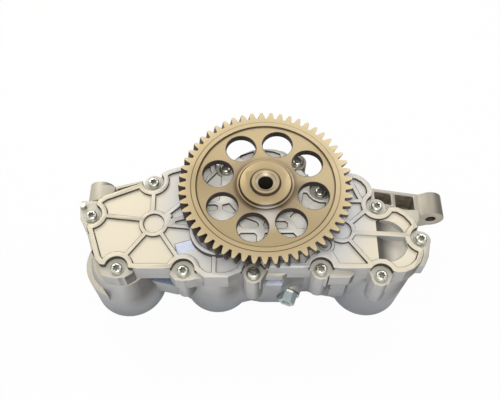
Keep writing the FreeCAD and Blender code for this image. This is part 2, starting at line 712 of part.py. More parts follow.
def passages():
    "The gear chambers, the suction and outlet ways and the relief valve's bore."
    to_joint = "sizes.housing_height - "
    well = "sizes.chamber_bottom - sizes.shaft_floor"
    chamber = (f"{chamber_radius}", to_joint + "sizes.chamber_bottom")
    suction_height = "sizes.left_lobe_height - sizes.suction_roof - sizes.suction_floor"
    suction_plan = passage(SUCTION_PATH, size("suction_channel_width"))
    outlet_plan = passage(OUTLET_PATH, size("outlet_channel_width"))
    channel_floor = to_joint + "sizes.channel_depth"
    middle_height = "sizes.left_lobe_height / 2"
    to_outlet = "sizes.mount_face_y - sizes.outlet_chamber_y"
    return [
        cylinder("drive_chamber", *chamber, z="sizes.chamber_bottom"),
        cylinder("idler_chamber", *chamber, *at("idler"), "sizes.chamber_bottom"),
        cylinder("drive_well", "sizes.drive_shaft_radius + sizes.bush_wall", well, z="sizes.shaft_floor"),
        cylinder("idler_well", "sizes.idler_shaft_radius + sizes.bush_wall", well, *at("idler"),
                 "sizes.shaft_floor"),
        cylinder("suction_chamber", "sizes.suction_chamber_radius", suction_height, *at("left_lobe"),
                 "sizes.suction_floor"),
        cylinder("suction_riser", "sizes.riser_radius", to_joint + middle_height, *at("riser"),
                 middle_height),
        cylinder("suction_port", "sizes.suction_port_radius", "sizes.suction_floor", *at("left_lobe")),
        prism("suction_channel", suction_plan, channel_floor, "sizes.channel_depth"),
        prism("outlet_channel", outlet_plan, channel_floor, "sizes.channel_depth"),
        cylinder("outlet_chamber", "sizes.outlet_chamber_radius", to_joint + "sizes.outlet_floor",
                 *at("outlet_chamber"), "sizes.outlet_floor"),
        boss("outlet_port", "sizes.outlet_port_radius", to_outlet, "sizes.outlet_port_x",
             "sizes.outlet_port_height"),
        cylinder("relief_bore", "sizes.relief_radius", relief_top, *at("relief")),
        cylinder("relief_seat", "sizes.relief_seat_radius", "sizes.relief_seat_height", *at("relief"),
                 relief_top),
        cylinder("spill_hole", "sizes.spill_radius", "sizes.spill_length", "sizes.relief_x",
                 "sizes.relief_y - sizes.spill_length", "sizes.spill_height", "y"),
    ]


def seal_groove(name, port):
    inside = f"sizes.{port}_port_radius + sizes.groove_wall"
    return ring(name, inside + " + 2 * sizes.port_seal_section", inside, "2 * sizes.port_seal_section")


def fastener_holes():
    "Holes for the screws, the sleeves, the pin, the plug and the snap ring, and the two mounting holes."
    to_joint = "sizes.housing_height - "
    depth = "sizes.screw_length - sizes.ear_thickness + sizes.end_gap"
    half_sleeve = "sizes.sleeve_length / 2 + sizes.seat_gap"
    plug_depth = "sizes.plug_thread_length + sizes.end_gap"
    holes = [
        cylinder("snap_ring_groove", "sizes.relief_radius + sizes.snap_ring_depth + sizes.seat_gap",
                 "sizes.snap_ring_thickness + 2 * sizes.seat_gap", *at("relief"),
                 "sizes.snap_ring_foot - sizes.seat_gap"),
        towards_plug(cylinder("plug_spot_face", "sizes.plug_spot_radius", "sizes.plug_spot_depth")),
        towards_plug(cylinder("plug_hole", "sizes.plug_radius + sizes.seat_gap", plug_depth), inwards=True),
        boss("left_mount_hole", "sizes.mount_hole_radius", "sizes.left_boss_length", "sizes.left_boss_x",
             "sizes.housing_height - sizes.left_boss_drop"),
        boss("right_mount_hole", "sizes.mount_hole_radius", "sizes.right_boss_length", "sizes.right_boss_x",
             "sizes.right_boss_height"),
        cylinder("pin_seat", "sizes.pin_radius + sizes.seat_gap", "sizes.pin_depth", *at("pin"),
                 to_joint + "sizes.pin_depth"),
    ]
    for number in range(1, len(SCREWS) + 1):
        holes.append(cylinder(f"screw_hole_{number}", "sizes.screw_shank_radius + sizes.seat_gap", depth,
                              *at(f"screw_{number}"), to_joint + f"({depth})"))
    for number in SLEEVED:
        holes.append(cylinder(f"sleeve_hole_{number}", "sizes.sleeve_radius", half_sleeve,
                              *at(f"screw_{number}"), to_joint + f"({half_sleeve})"))
    return holes


def housing_cutters():
    "What is taken out of the casting."
    cover_space = joint_face.makeOffset2D(size("cover_gap"), 2)
    cutters = passages() + fastener_holes() + [
        prism("cover_space", cover_space, joint_plane, "3 * sizes.ear_thickness"),
        prism("web_slot", polygon(WEB_SLOT), "sizes.web_slot_floor", "sizes.housing_height"),
        cylinder("scoop", "sizes.scoop_radius", "sizes.scoop_height", *at("scoop"), "sizes.ledge_top"),
        place(seal_groove("suction_groove", "suction"), x="sizes.left_lobe_x", y="sizes.left_lobe_y"),
    ]
    for number, points in enumerate(ARM_POCKETS, 1):
        plan = rounded(polygon(points), size("arm_pocket_corner"))
        cutters.append(prism(f"arm_pocket_{number}", plan, "sizes.arm_pocket_floor", "sizes.housing_height"))
    outlet_groove = seal_groove("outlet_groove", "outlet")
    outlet_groove.Placement.Rotation = FreeCAD.Rotation(Vector(1, 0, 0), 90)
    place(outlet_groove, x="sizes.outlet_port_x", y="sizes.mount_face_y", z="sizes.outlet_port_height")
    return cutters + [outlet_groove]


def housing():
    return cut("housing", fuse("housing_blank", housing_blocks()), housing_cutters())


def involute(angle):
    return math.tan(angle) - angle


def tooth_outline(teeth, module, pressure_angle, backlash, root_depth, phase):
    "The closed outline of a gear: involute flanks as arcs, with flat tips and roots."
    pitch = module * teeth / 2
    base = pitch * math.cos(pressure_angle)
    tip, root = pitch + module, pitch - root_depth
    half_tooth = (math.pi * module - backlash) / (4 * pitch) + involute(pressure_angle)

    def flank(radius, side, middle):
        turn = half_tooth - involute(math.acos(min(1, base / radius)))
        return Vector(radius * math.cos(middle + side * turn), radius * math.sin(middle + side * turn), 0)

    start = max(base, root)
    edges = []
    roots = []
    for tooth in range(int(teeth)):
        middle = phase + 2 * math.pi * tooth / teeth
        ends = []
        for side in (-1, 1):
            points = [flank(radius, side, middle) for radius in (start, (start + tip) / 2, tip)]
            edges.append(Part.Arc(*points).toShape())
            foot = Vector(points[0]).normalize() * root
            if base > root:
                edges.append(Part.makeLine(foot, points[0]))
            ends.append((foot, points[-1]))
        edges.append(Part.makeLine(ends[0][1], ends[1][1]))
        roots.append((ends[0][0], ends[1][0]))
    for (_, leaving), (entering, _) in zip(roots, roots[1:] + roots[:1]):
        edges.append(Part.makeLine(leaving, entering))
    return Part.Face(Part.Wire(Part.__sortEdges__(edges)))


def pump_gear(name, phase, bore, x="0", y="0"):
    "Both pump gears have the same teeth, turned to mesh."
    angle = math.radians(size("pump_pressure_angle"))
    teeth = (size("pump_teeth"), pump_module, angle, size("pump_backlash"), 1.25 * pump_module)
    body = new_body(name, x=x, y=y, z="sizes.chamber_bottom + sizes.side_gap")
    pad(body, name + "_teeth", tooth_outline(*teeth, phase), gear_width)
    pocket(body, name + "_bore", disc(0, 0, bore), gear_width, gear_width)
    return body


def driver_gear():
    towards_idler = math.atan2(idler[1], idler[0])
    body = pump_gear("driver_gear", towards_idler, size("drive_shaft_radius") + size("seat_gap"))
    pocket(body, "driver_keyway", key_plan(size("seat_gap")), gear_width, gear_width)
    return body


def driven_gear():
    "The driven gear has a gap where the driver has a tooth."
    towards_drive = math.atan2(-idler[1], -idler[0])
    gap = towards_drive + math.pi / size("pump_teeth")
    return pump_gear("driven_gear", gap, size("idler_shaft_radius") + size("seat_gap"), *at("idler"))


def key_plan(gap):
    "The key seen from the end of the shaft, half of it in the shaft and half in the gear."
    depth, half = size("key_depth") + gap, size("key_width") / 2 + gap
    low, high = size("drive_shaft_radius") - depth, size("drive_shaft_radius") + depth
    return polygon([(low, -half), (high, -half), (high, half), (low, half)])


def drive_key():
    body = new_body("drive_key", z="sizes.chamber_bottom + sizes.side_gap")
    pad(body, "key_block", key_plan(0), gear_width)
    return body


def drive_shaft():
    "A hollow shaft with chamfered ends and a flared bore; Z = 0 is its lower end."
    foot = size("shaft_floor") + size("end_gap")
    body = new_body("drive_shaft", z="sizes.shaft_floor + sizes.end_gap")
    length = cover_top + size("gear_stand_off") + size("drive_shaft_stand_out") - foot
    radius, bore, chamfer = size("drive_shaft_radius"), size("drive_shaft_bore"), size("shaft_chamfer")
    flare, flare_depth = size("shaft_bore_flare"), size("shaft_bore_flare_depth")
    half_section(body, "shaft_form", [
        (bore, 0), (radius - chamfer, 0), (radius, chamfer), (radius, length - chamfer),
        (radius - chamfer, length), (bore + flare, length), (bore, length - flare_depth),
    ])
    key_foot = "sizes.chamber_bottom + sizes.side_gap - sizes.seat_gap - sizes.shaft_floor - sizes.end_gap"
    key_length = gear_width + " + 2 * sizes.seat_gap"
    pocket(body, "shaft_keyway", key_plan(size("seat_gap")), key_length, key_foot, upwards=True)
    return body


def idler_shaft():
    foot = "sizes.shaft_floor + sizes.end_gap"
    body = new_body("idler_shaft", x="sizes.idler_x", y="sizes.idler_y", z=foot)
    bore_top = cover_top - size("pocket_depth") - size("idler_cap")
    length = bore_top - size("shaft_floor") - 2 * size("end_gap")
    radius, chamfer = size("idler_shaft_radius"), size("shaft_chamfer")
    half_section(body, "idler_form", [
        (0, 0), (radius - chamfer, 0), (radius, chamfer), (radius, length - chamfer),
        (radius - chamfer, length), (0, length),
    ])
    return body


def bush(name, shaft, z, length, x="0", y="0"):
    outside = f"sizes.{shaft}_shaft_radius + sizes.bush_wall - sizes.seat_gap"
    return ring(name, outside, f"sizes.{shaft}_shaft_radius + sizes.shaft_gap", length, x, y, z)


def bushes():
    rear = "sizes.chamber_bottom - sizes.bush_length"
    return [
        bush("drive_rear_bush", "drive", rear, "sizes.bush_length"),
        bush("idler_rear_bush", "idler", rear, "sizes.bush_length", *at("idler")),
        bush("drive_front_bush", "drive", joint_plane, cover_height),
        bush("idler_front_bush", "idler", joint_plane, idler_bore_depth + " - sizes.end_gap", *at("idler")),
    ]


def thrust_washer():
    return ring("thrust_washer", "sizes.washer_radius", "sizes.drive_shaft_radius + sizes.end_gap",
                "sizes.washer_thickness", z=rib_top)


def gear_outline(phase):
    "The helical gear's outline in its own plane of rotation."
    helix = math.radians(size("gear_helix_angle"))
    module = size("gear_module") / math.cos(helix)
    pressure = math.atan(math.tan(math.radians(size("gear_pressure_angle"))) / math.cos(helix))
    root_depth = 1.4 * size("gear_module")
    return tooth_outline(size("gear_teeth"), module, pressure, size("gear_backlash"), root_depth, phase)


def drive_gear():
    "Helical teeth by a loft, web recesses by grooves, hub by a revolution, holes by a polar pattern."
    face = size("gear_face")
    body = new_body("drive_gear", z=gear_foot)
    helix = math.radians(size("gear_helix_angle"))
    pitch = size("gear_module") * size("gear_teeth") / math.cos(helix) / 2
    twist = face * math.tan(helix) / pitch
    top_phase = math.radians(size("gear_tooth_angle"))
    lower = body_sketch(body, "lower_teeth", gear_outline(top_phase + twist))
    upper = body_sketch(body, "upper_teeth", gear_outline(top_phase), "sizes.gear_face")
    teeth = body.newObject("PartDesign::AdditiveLoft", "teeth")
    teeth.Profile = lower
    teeth.Sections = [upper]
    teeth.Ruled = True
    step, foot, hub = size("gear_rim_step_radius"), size("gear_hub_foot"), size("gear_hub_radius")
    taper, beyond = size("gear_hub_taper"), 1
    web_top = face - size("gear_web_recess")
    web_foot = web_top - size("gear_web_thickness")
    hub_top = face + size("gear_hub_rise")
    hub_foot = size("washer_thickness") + size("side_gap") - size("gear_stand_off") + face
    bore = size("drive_shaft_radius") + size("seat_gap")
    half_section(body, "upper_recess", [
        (foot, web_top), (step, web_top), (step + beyond, face + beyond), (foot, face + beyond),
    ], groove=True)
    half_section(body, "lower_recess", [
        (foot, -beyond), (step, -beyond), (step, web_foot), (foot, web_foot),
    ], groove=True)
    half_section(body, "hub", [
        (bore, hub_foot), (hub - taper, hub_foot), (hub, web_foot), (foot, web_foot + beyond),
        (foot, web_top), (hub, web_top + taper), (hub, hub_top), (bore, hub_top),
    ])
    pocket(body, "shaft_bore", disc(0, 0, bore), "3 * sizes.gear_face", "2 * sizes.gear_face")
    angle, circle = math.radians(size("gear_hole_angle")), size("gear_hole_circle")
    hole = disc(circle * math.cos(angle), circle * math.sin(angle), size("gear_hole_radius"))
    pocket(body, "web_hole", hole, "sizes.gear_face", "sizes.gear_face")
    doc.recompute()
    pattern = body.newObject("PartDesign::PolarPattern", "web_holes")
    pattern.Originals = [body.getObject("web_hole")]
    pattern.Axis = (body.getObject("web_hole").Profile[0], ["N_Axis"])
    pattern.Angle = 360
    pattern.Occurrences = int(size("gear_holes"))
    body.Tip = pattern
    return body


def star(radius):
    "A six-pointed socket."
    points = []
    for corner in range(12):
        reach = radius if corner % 2 == 0 else size("socket_waist") * radius
        points.append((reach * math.cos(math.pi * corner / 6), reach * math.sin(math.pi * corner / 6)))
    return polygon(points)


def cover_screws():
    "One screw is modelled, and copied to every ear."
    body = new_body("cover_screw")
    shank, length, height = size("screw_shank_radius"), size("screw_length"), size("screw_head_height")
    half_section(body, "screw_form", [
        (0, -length), (shank, -length), (shank, 0), (size("screw_flange_radius"), 0),
        (size("screw_head_radius"), height), (0, height),
    ])
    socket = star(size("screw_socket_radius"))
    pocket(body, "screw_socket", socket, "sizes.screw_socket_depth", "sizes.screw_head_height")
    doc.recompute()
    seat = size("housing_height") + size("ear_thickness")
    return compound("cover_screws", [body.Shape.translated(Vector(x, y, seat)) for x, y in screw_places])


def locating_sleeves():
    outside, inside = size("sleeve_radius") - size("seat_gap"), size("sleeve_radius") - size("sleeve_wall")
    length = size("sleeve_length")
    sleeves = []
    for x, y in sleeve_places:
        foot = Vector(x, y, size("housing_height") - length / 2)
        sleeves.append(Part.makeCylinder(outside, length, foot).cut(Part.makeCylinder(inside, length, foot)))
    return compound("locating_sleeves", sleeves)


def locating_pin():
    return cylinder("locating_pin", "sizes.pin_radius", "sizes.pin_length", "sizes.pin_x", "sizes.pin_y",
                    "sizes.housing_height - sizes.pin_depth")


def coil_spring(name, wire, mean, length):
    "A coil of short straight runs of six-sided wire, from Z = 0 up to a length."
    steps = int(size("spring_turns") * size("spring_steps"))
    sections = []
    for step in range(steps + 1):
        turn = 2 * math.pi * step / size("spring_steps")
        outwards = Vector(math.cos(turn), math.sin(turn), 0)
        centre = mean * outwards + Vector(0, 0, wire + (length - 2 * wire) * step / steps)
        corners = []
        for corner in range(7):
            angle = math.pi * corner / 3
            corners.append(centre + wire * (math.cos(angle) * outwards + Vector(0, 0, math.sin(angle))))
        sections.append(Part.makePolygon(corners))
    spring = doc.addObject("Part::Feature", name)
    spring.Shape = Part.makeLoft(sections, True, True)
    return spring


def relief_valve():
    "Piston, spring, plug and snap ring of the relief valve, in the bore beside the outlet channel."
    radius, cavity = size("relief_radius") - size("relief_gap"), size("relief_cavity_radius")
    length, depth = size("relief_piston_length"), size("relief_cavity_depth")
    piston_foot = relief_top + " - sizes.relief_piston_length - sizes.seat_gap"
    piston = new_body("relief_piston", x="sizes.relief_x", y="sizes.relief_y", z=piston_foot)
    half_section(piston, "piston_form", [
        (cavity, 0), (radius, 0), (radius, length), (0, length), (0, depth), (cavity, depth),
    ])
    plug_length, socket = size("relief_plug_length"), size("relief_plug_socket_radius")
    plug = new_body("relief_plug", x="sizes.relief_x", y="sizes.relief_y", z="sizes.relief_plug_foot")
    half_section(plug, "plug_form", [
        (socket, 0), (radius, 0), (radius, plug_length), (0, plug_length), (0, plug_length / 2),
        (socket, plug_length / 2),
    ])
    snap_ring = ring("relief_snap_ring", "sizes.relief_radius + sizes.snap_ring_depth",
                     "sizes.relief_radius - sizes.snap_ring_depth", "sizes.snap_ring_thickness",
                     *at("relief"), "sizes.snap_ring_foot")
    wire, gap = size("spring_wire"), size("seat_gap")
    foot = size("relief_plug_foot") + plug_length + gap
    head = size("housing_height") - size("relief_drop") - gap - length + depth - gap
    spring = coil_spring("relief_spring", wire, cavity - wire - size("spring_side_gap"), head - foot)
    spring.Placement.Base = Vector(size("relief_x"), size("relief_y"), foot)
    return [piston, spring, plug, snap_ring]


def gallery_plug():
    "Hexagon plug with its washer, standing out of the front wall."
    washer_thickness = "sizes.plug_washer_thickness"
    thread = "sizes.plug_thread_length"
    body = towards_plug(new_body("gallery_plug"))
    pad(body, "plug_thread", disc(0, 0, size("plug_radius")), f"{thread} + {washer_thickness}", f"-{thread}")
    radius = size("plug_head_radius")
    corners = [(radius * math.cos(math.pi * i / 3), radius * math.sin(math.pi * i / 3)) for i in range(6)]
    pad(body, "plug_hexagon", polygon(corners), "sizes.plug_head_length", washer_thickness)
    plug_top = f"sizes.plug_head_length + {washer_thickness}"
    pocket(body, "plug_recess", disc(0, 0, radius / 2), "sizes.plug_head_length / 3", plug_top)
    washer = towards_plug(new_body("gallery_plug_washer"))
    thread_hole = disc(0, 0, size("plug_radius") + size("seat_gap"))
    washer_face = disc(0, 0, size("plug_boss_radius")).cut(thread_hole)
    pad(washer, "washer_disc", washer_face, washer_thickness)
    return [body, washer]


def port_seal(port):
    "A square-section sealing ring that fills the groove round a port."
    inside = f"sizes.{port}_port_radius + sizes.groove_wall"
    width = "2 * sizes.port_seal_section"
    return ring(f"{port}_port_seal", f"{inside} + {width} - sizes.shaft_gap", f"{inside} + sizes.shaft_gap",
                f"{width} - sizes.shaft_gap")


def port_seals():
    suction, outlet = port_seal("suction"), port_seal("outlet")
    place(suction, x="sizes.left_lobe_x", y="sizes.left_lobe_y", z="sizes.shaft_gap")
    outlet.Placement.Rotation = FreeCAD.Rotation(Vector(1, 0, 0), 90)
    place(outlet, x="sizes.outlet_port_x", y="sizes.mount_face_y", z="sizes.outlet_port_height")
    return [suction, outlet]


parts = [
    housing(), front_cover(), cover_screws(), locating_sleeves(), locating_pin(), *bushes(), thrust_washer(),
    drive_gear(), drive_shaft(), driver_gear(), drive_key(), driven_gear(), idler_shaft(), *relief_valve(),
    *gallery_plug(), *port_seals(),
]
doc.recompute()

for thing in doc.Objects:
    if {"Invalid", "Error"} & set(thing.State):
        raise SystemExit(f"{thing.Label} failed: {thing.State}")
os.makedirs("parts", exist_ok=True)
for part in parts:
    shape = part.Shape
    if shape.isNull() or not shape.isValid():
        raise SystemExit(f"{part.Label} has no valid shape")
    shape.exportStep(f"parts/{part.Label}.step")
    box = shape.BoundBox
    print(f"{part.Label:22} solids {len(shape.Solids):3} volume {shape.Volume:12.1f} "
          f"x {box.XMin:8.2f} {box.XMax:8.2f} y {box.YMin:8.2f} {box.YMax:8.2f} "
          f"z {box.ZMin:7.2f} {box.ZMax:7.2f}")
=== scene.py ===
# %% [markdown]
# # Engine oil pump
# This lesson dresses an engine oil pump: a ribbed cast pump body with a large tan helical gear before it.
# The packed model already has every piece at its real size, so it is loaded first and never moved. Modelling
# it again from nothing would give two models that drift apart. Blender adds what a camera sees: soft cast
# edges, turned and plated metal, and the studio round it.

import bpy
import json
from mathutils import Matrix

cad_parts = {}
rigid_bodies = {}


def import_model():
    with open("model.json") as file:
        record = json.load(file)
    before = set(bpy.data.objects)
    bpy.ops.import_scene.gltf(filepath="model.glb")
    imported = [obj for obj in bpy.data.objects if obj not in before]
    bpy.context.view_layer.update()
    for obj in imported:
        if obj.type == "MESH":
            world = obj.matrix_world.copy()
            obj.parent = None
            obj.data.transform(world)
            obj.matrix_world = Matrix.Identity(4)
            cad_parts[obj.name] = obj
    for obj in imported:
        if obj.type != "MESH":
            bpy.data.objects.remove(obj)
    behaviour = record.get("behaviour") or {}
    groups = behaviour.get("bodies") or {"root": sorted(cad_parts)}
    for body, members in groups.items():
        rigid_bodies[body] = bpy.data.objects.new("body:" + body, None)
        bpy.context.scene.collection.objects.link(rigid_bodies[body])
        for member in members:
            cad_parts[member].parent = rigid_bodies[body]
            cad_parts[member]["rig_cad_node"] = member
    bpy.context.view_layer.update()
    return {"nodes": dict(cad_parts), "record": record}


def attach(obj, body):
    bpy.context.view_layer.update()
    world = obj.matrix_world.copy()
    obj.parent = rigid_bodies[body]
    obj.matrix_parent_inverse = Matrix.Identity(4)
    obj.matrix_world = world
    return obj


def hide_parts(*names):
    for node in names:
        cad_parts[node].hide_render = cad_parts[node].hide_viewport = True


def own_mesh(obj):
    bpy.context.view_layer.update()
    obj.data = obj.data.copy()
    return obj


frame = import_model()
print("pieces in the packed model:", len(frame["nodes"]))

# %% Modules and units
import json
import math

import bmesh
import bpy
from mathutils import Matrix, Vector

MM = 0.001
nodes = frame["nodes"]
scene = bpy.context.scene
print("one millimetre is", MM, "Blender units")

# %% [markdown]
# ## The camera
# The photograph looks down on the gear at about 61 degrees, from in front of the pump's long side. A camera
# could be placed by eye, but its height and lens follow better from straight edges: those far from the
# middle lean very little, so the lens is a long one and the camera stands well back.

# %% Camera
LOOK_DOWN = math.radians(60.91)
SENSOR_WIDTH = 36
LENS = 46.08
CAMERA_PLACE = Vector((-15.19, -318.08, 647.31)) * MM
camera_data = bpy.data.cameras.new("camera")
camera_data.sensor_width = SENSOR_WIDTH
camera_data.lens = LENS
camera = bpy.data.objects.new("camera", camera_data)
camera.location = CAMERA_PLACE
camera.rotation_euler = (math.pi / 2 - LOOK_DOWN, 0, 0)
scene.collection.objects.link(camera)
scene.camera = camera
scene.view_settings.view_transform = "Standard"
print("camera height in metres:", round(camera.location.z, 3))

# %% [markdown]
# ## Arithmetic for shaders
# A shader is a net of nodes. It could be wired by hand in the editor, but in a script that is long. So a
# small class wraps a node's output, and plain Python arithmetic on it adds the Math nodes.

# %% Wires between nodes
class Wire:
    "An output of a shader node: arithmetic on it adds Math nodes."

    def __init__(self, shader, socket):
        self.shader = shader
        self.socket = socket

    def maths(self, operation, first, second):
        return self.shader.node("Math", {0: first, 1: second}, operation=operation)

    def __add__(self, other):
        return self.maths("ADD", self, other)

    def __radd__(self, other):
        return self.maths("ADD", other, self)

    def __sub__(self, other):
        return self.maths("SUBTRACT", self, other)

    def __rsub__(self, other):
        return self.maths("SUBTRACT", other, self)

    def __mul__(self, other):
        return self.maths("MULTIPLY", self, other)

    def __rmul__(self, other):
        return self.maths("MULTIPLY", other, self)

    def __truediv__(self, other):
        return self.maths("DIVIDE", self, other)

    def __pow__(self, other):
        return self.maths("POWER", self, other)


print("arithmetic ready:", [name for name in vars(Wire) if name.startswith("__r")])

# %% [markdown]
# A second class holds the node tree of one material or of the world. One method makes every kind of node,
# and the others are short names for the nodes that the finishes of this pump share.

# %% Node trees
class Shader:
    "The nodes of a new material or world, put together from Python expressions."

    def __init__(self, block):
        self.block = block
        self.block.use_nodes = True
        self.tree = block.node_tree
        self.tree.nodes.clear()

    def node(self, kind, inputs=None, output=0, stops=None, **settings):
        "Adds a node: its settings first, then the values or wires of its sockets."
        made = self.tree.nodes.new("ShaderNode" + kind)
        for name, value in settings.items():
            setattr(made, name, value)
        if stops:
            ramp = made.color_ramp
            while len(ramp.elements) < len(stops):
                ramp.elements.new(1)
            for element, (place, colour) in zip(ramp.elements, stops):
                element.position = place
                element.color = colour
        for name, value in (inputs or {}).items():
            if isinstance(value, Wire):
                self.tree.links.new(value.socket, made.inputs[name])
            else:
                made.inputs[name].default_value = value
        return Wire(self, made.outputs[output]) if made.outputs else None

    def split(self, vector):
        "The three parts of a vector."
        parts = self.node("SeparateXYZ", {0: vector}).socket.node
        return [Wire(self, socket) for socket in parts.outputs]

    def place(self):
        "Where a point lies on the pump, in metres."
        return self.node("TexCoord", output="Object")

    def direction(self):
        "How far the surface looks to the right, to the back and up, each from -1 to 1."
        return self.split(self.node("NewGeometry", output="Normal"))

    def noise(self, size, detail=2):
        "Soft random blotches of about the given size in metres, from 0 to 1."
        return self.node("TexNoise", {"Vector": self.place(), "Scale": 1 / size, "Detail": detail})

    def between(self, value, low, high):
        "0 below low, 1 above high, and even in between."
        return self.node("MapRange", {"Value": value, "From Min": low, "From Max": high})

    def blend(self, mask, first, second):
        "The first colour where the mask is 0 and the second where it is 1."
        return self.node("Mix", {0: mask, 6: first, 7: second}, output=2, data_type="RGBA")

    def bump(self, height, depth, strength=1.0):
        "Turns a height from 0 to 1 into a relief of a depth in metres."
        return self.node("Bump", {"Height": height, "Distance": depth, "Strength": strength})

    def finish(self, **inputs):
        "The surface itself, with a Principled shader."
        sockets = {name.replace("_", " "): value for name, value in inputs.items()}
        self.node("OutputMaterial", {"Surface": self.node("BsdfPrincipled", sockets)})
        return self.block


def new_material(name):
    return Shader(bpy.data.materials.new(name))


def srgb(red, green, blue):
    "A colour as it is read off a photograph, 0 to 255, in the linear values that Blender keeps."
    def linear(part):
        return part / 12.92 if part <= 0.04045 else ((part + 0.055) / 1.055) ** 2.4

    return (linear(red / 255), linear(green / 255), linear(blue / 255), 1)


print("mid grey in linear values:", [round(part, 3) for part in srgb(128, 128, 128)])

# %% [markdown]
# ## Cast aluminium
# The two castings are pressure die cast: a fine grain all over, and painted light and shade: paler on the top
# faces that the light meets, and darker and cooler on the steep walls, more so towards their foot. It could
# be painted on a picture, but a picture has seams, so the finish is worked out from the place and direction
# of the surface. Neither depends on the camera. The room is darker on the right, so flanks that face that way
# get a painted shade. Beside the gear the metal gets a cooler painted shadow of the gear, and straight below
# it, where its holes show the metal, a pale painted light.

# %% Where the casting changes its colour
WALL_TO_FLAT = (0.55, 0.93)
LIT_TO_DARK_SIDE = (0.03, 0.55)
FRONT_TO_FLANK = (-0.8, -0.4)
UNDER_GEAR = (66 * MM, 80 * MM)
BESIDE_GEAR = (88 * MM, 118 * MM)
FLOOR_TO_RIB = (86.4 * MM, 87.4 * MM)
SCREW_SEAT = (83.8 * MM, 84.2 * MM)
FOOT_TO_TOP = (4 * MM, 62 * MM)
FRONT_TO_BACK = (-40 * MM, -12 * MM)
ABOVE_LOBES = (20 * MM, 45 * MM)
ARM_END = (158 * MM, 186 * MM)
DARK_SIDE = srgb(86, 82, 78)
ARM_SHADE = srgb(98, 90, 78)
GRAIN = srgb(120, 112, 98)
print("the gear shades the casting up to a radius of", BESIDE_GEAR[1], "metres")

# %% Cast aluminium
def cast_aluminium(name, right_tone, top, floor, wall, wall_foot, gear_shadow_tone, under_gear_light, seat):
    shader = new_material(name)
    x, y, height = shader.split(shader.place())
    right, back, up = shader.direction()
    blotches = shader.noise(18 * MM, 4)
    fine = shader.noise(0.7 * MM, 3)
    from_axis = (x * x + y * y) ** 0.5
    is_flat = shader.between(up, *WALL_TO_FLAT)
    flat = shader.blend(shader.between(height, *FLOOR_TO_RIB), floor, top)
    # Painted shadow of the gear: cooler beside it. Painted light: pale straight below it, where its holes
    # show the metal.
    flat = shader.blend(0.6 * (1 - shader.between(from_axis, *BESIDE_GEAR)), flat, gear_shadow_tone)
    flat = shader.blend(1 - shader.between(from_axis, *UNDER_GEAR), flat, under_gear_light)
    flat = shader.blend(shader.between(height, *SCREW_SEAT), seat, flat)
    # Steep walls get a painted shade, darker and bluer towards their foot; from the front backwards they take
    # the floor's colour.
    steep = shader.blend(shader.between(height, *FOOT_TO_TOP), wall_foot, wall)
    steep = shader.blend(shader.between(y, *FRONT_TO_BACK), steep, floor)
    colour = shader.blend(is_flat, steep, flat)
    dull = shader.blend(is_flat, wall_foot, floor)
    colour = shader.blend(shader.between(blotches, 0.4, 0.75) * 0.25, colour, dull)
    dark = shader.between(right, *LIT_TO_DARK_SIDE) * shader.between(height, *ABOVE_LOBES)
    colour = shader.blend(dark * right_tone, colour, DARK_SIDE)
    # Painted shade on the end of the arm, except its front face.
    on_arm = shader.between(x, *ARM_END) * shader.between(back, *FRONT_TO_FLANK)
    colour = shader.blend(on_arm * 0.85, colour, ARM_SHADE)
    colour = shader.blend(shader.between(fine, 0.62, 0.75) * 0.16, colour, GRAIN)
    relief = shader.bump(fine + blotches * 2, 0.1 * MM, 0.4)
    return shader.finish(Base_Color=colour, Metallic=0.3, Roughness=0.4 + fine * 0.18, Normal=relief)


cover_metal = cast_aluminium(
    "cast_cover_metal", right_tone=0.95, top=srgb(212, 203, 182), floor=srgb(220, 211, 190),
    wall=srgb(196, 196, 196), wall_foot=srgb(184, 186, 190), gear_shadow_tone=srgb(204, 210, 224),
    under_gear_light=srgb(248, 246, 238), seat=srgb(196, 192, 180))
housing_metal = cast_aluminium(
    "cast_housing_metal", right_tone=0.8, top=srgb(204, 196, 178), floor=srgb(204, 196, 178),
    wall=srgb(196, 196, 196), wall_foot=srgb(148, 152, 158), gear_shadow_tone=srgb(196, 200, 208),
    under_gear_light=srgb(196, 198, 202), seat=srgb(196, 190, 174))
print("castings:", cover_metal.name, "and", housing_metal.name)

# %% [markdown]
# Pockets and narrow places get a painted shade of their own whatever way they face, and a shallow trough a
# pale bluish painted highlight. A lamp that leaves out only them would be hard to place, so they get plain
# blotchy finishes of two colours each.

# %% Shaded places of the castings
def painted_light_finish(name, colour, deep):
    """Two blotchy colours: painted shade in a narrow place, and for the trough a pale painted highlight."""
    shader = new_material(name)
    blotches = shader.noise(6 * MM, 3)
    tint = shader.blend(shader.between(blotches, 0.3, 0.7), colour, deep)
    return shader.finish(Base_Color=tint, Metallic=0.2, Roughness=0.55 + blotches * 0.1)


# Painted shade for pocket walls, the arm's pockets, the shelf, the gear's holes and the screw sockets; the
# trough gets a pale painted highlight.
pocket_shade = painted_light_finish("cast_pocket_wall_shade", srgb(92, 86, 80), srgb(66, 62, 60))
trough_highlight = painted_light_finish("cast_trough_highlight", srgb(222, 228, 244), srgb(206, 212, 232))
arm_pocket_shade = painted_light_finish("cast_arm_pocket_shade", srgb(168, 158, 144), srgb(120, 110, 98))
shelf_shadow = painted_light_finish("cast_shelf_shadow", srgb(146, 158, 176), srgb(118, 132, 152))
gear_hole_shade = painted_light_finish("gear_hole_shade", srgb(66, 56, 52), srgb(46, 40, 38))
socket_shade = painted_light_finish("socket_shade", srgb(150, 148, 136), srgb(104, 102, 94))
print("pocket walls get", pocket_shade.name, "and the holes of the gear", gear_hole_shade.name)

